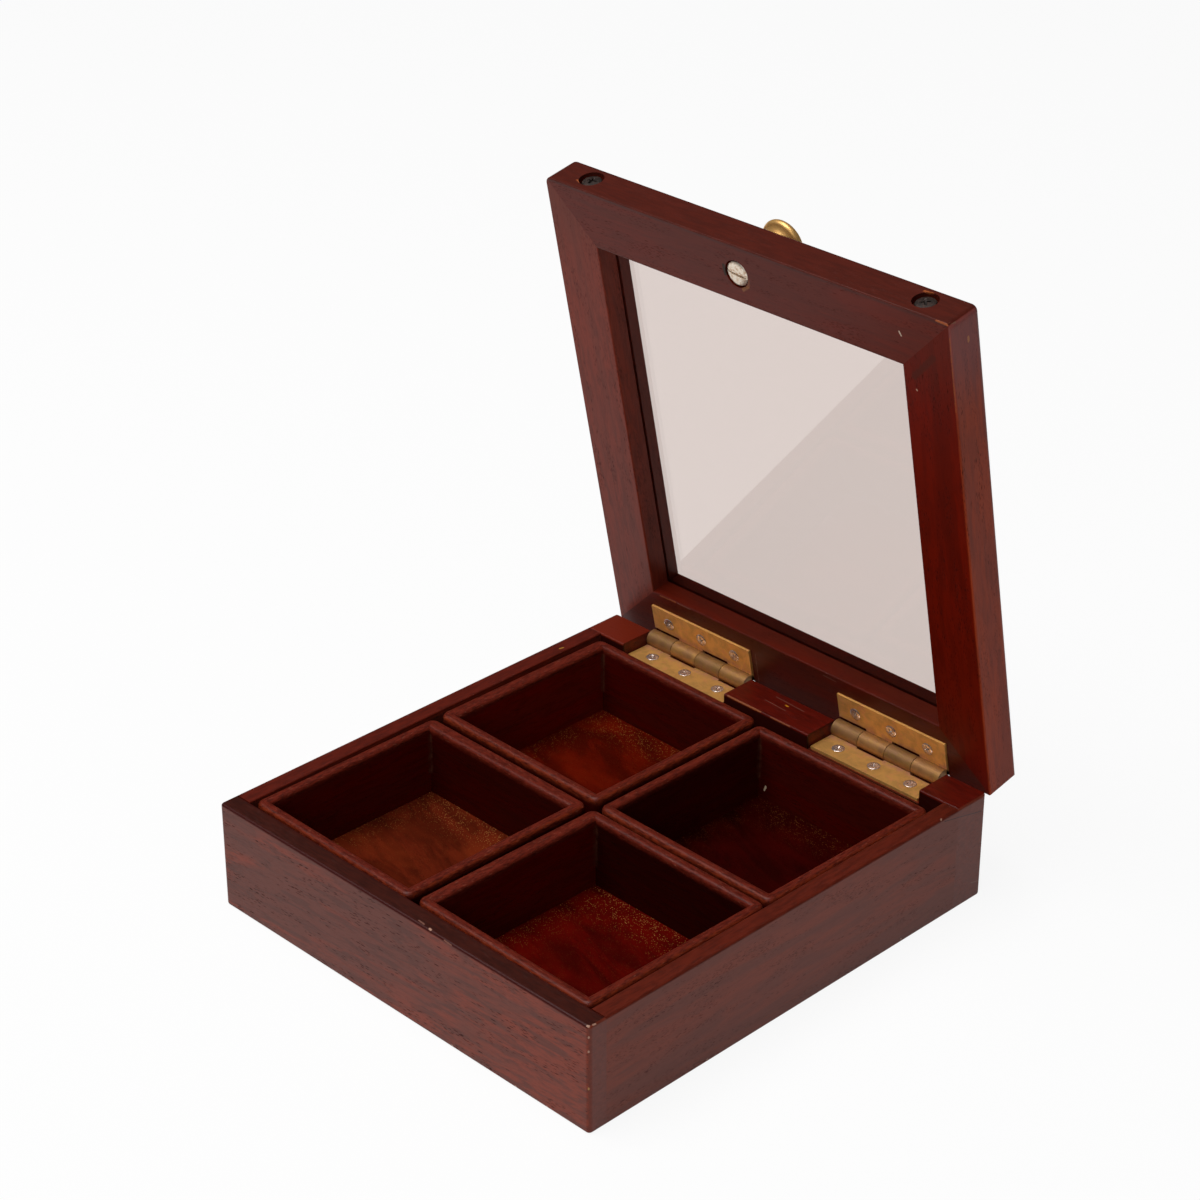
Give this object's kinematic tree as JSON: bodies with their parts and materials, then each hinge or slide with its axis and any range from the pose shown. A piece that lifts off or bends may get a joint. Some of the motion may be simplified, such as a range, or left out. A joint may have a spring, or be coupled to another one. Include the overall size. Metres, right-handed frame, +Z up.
{
  "type": "tea bag organizer box",
  "caption": "Shallow hardwood box with a glazed, hinged lid and loose square trays that hold tea bags.",
  "frame": {"origin": "centre of the box's underside", "axes": "+X from left to right along the front wall, +Y from the front wall to the hinges, +Z up"},
  "size_m": [0.1806, 0.2083, 0.2285],
  "materials": {
    "box_wood": "satin, dark reddish-brown stained hardwood with fine open pores",
    "tray_wood": "satin, dark reddish-brown stained hardwood",
    "brass": "brushed, lightly tarnished",
    "steel": "bright plated",
    "dark_steel": "blackened",
    "glass": "clear polished"
  },
  "bodies": {
    "base": {"front_wall": "box_wood", "rear_wall": "box_wood", "left_wall": "box_wood", "right_wall": "box_wood", "bottom_panel": "box_wood", "left_hinge_base_leaf": "brass", "left_hinge_pin": "brass", "right_hinge_base_leaf": "brass", "right_hinge_pin": "brass", "hinge_base_screws": "steel"},
    "lid": {"lid_front_rail": "box_wood", "lid_rear_rail": "box_wood", "lid_left_rail": "box_wood", "lid_right_rail": "box_wood", "lid_glass": "glass", "lid_corner_screws": "dark_steel", "lid_knob": "brass", "knob_screw": "steel", "left_hinge_lid_leaf": "brass", "right_hinge_lid_leaf": "brass", "hinge_lid_screws": "steel"},
    "front_left_tray": {"front_left_tray_front": "tray_wood", "front_left_tray_right": "tray_wood", "front_left_tray_back": "tray_wood", "front_left_tray_left": "tray_wood", "front_left_tray_floor": "tray_wood"},
    "rear_left_tray": {"rear_left_tray_front": "tray_wood", "rear_left_tray_right": "tray_wood", "rear_left_tray_back": "tray_wood", "rear_left_tray_left": "tray_wood", "rear_left_tray_floor": "tray_wood"},
    "rear_right_tray": {"rear_right_tray_front": "tray_wood", "rear_right_tray_right": "tray_wood", "rear_right_tray_back": "tray_wood", "rear_right_tray_left": "tray_wood", "rear_right_tray_floor": "tray_wood"},
    "front_right_tray": {"front_right_tray_front": "tray_wood", "front_right_tray_right": "tray_wood", "front_right_tray_back": "tray_wood", "front_right_tray_left": "tray_wood", "front_right_tray_floor": "tray_wood"}
  },
  "joints": [
    {"name": "lid_hinge", "type": "hinge", "parent": "base", "child": "lid", "pos_m": [0, 0.09565, 0.0386], "axis": [-1, 0, 0], "range_deg": [-78.6, 81.4]},
    {"name": "front_left_tray_lift", "type": "slide", "parent": "base", "child": "front_left_tray", "axis": [0, 0, 1], "range_m": [0, 0.045]},
    {"name": "rear_left_tray_lift", "type": "slide", "parent": "base", "child": "rear_left_tray", "axis": [0, 0, 1], "range_m": [0, 0.045]},
    {"name": "rear_right_tray_lift", "type": "slide", "parent": "base", "child": "rear_right_tray", "axis": [0, 0, 1], "range_m": [0, 0.045]},
    {"name": "front_right_tray_lift", "type": "slide", "parent": "base", "child": "front_right_tray", "axis": [0, 0, 1], "range_m": [0, 0.045]}
  ]
}
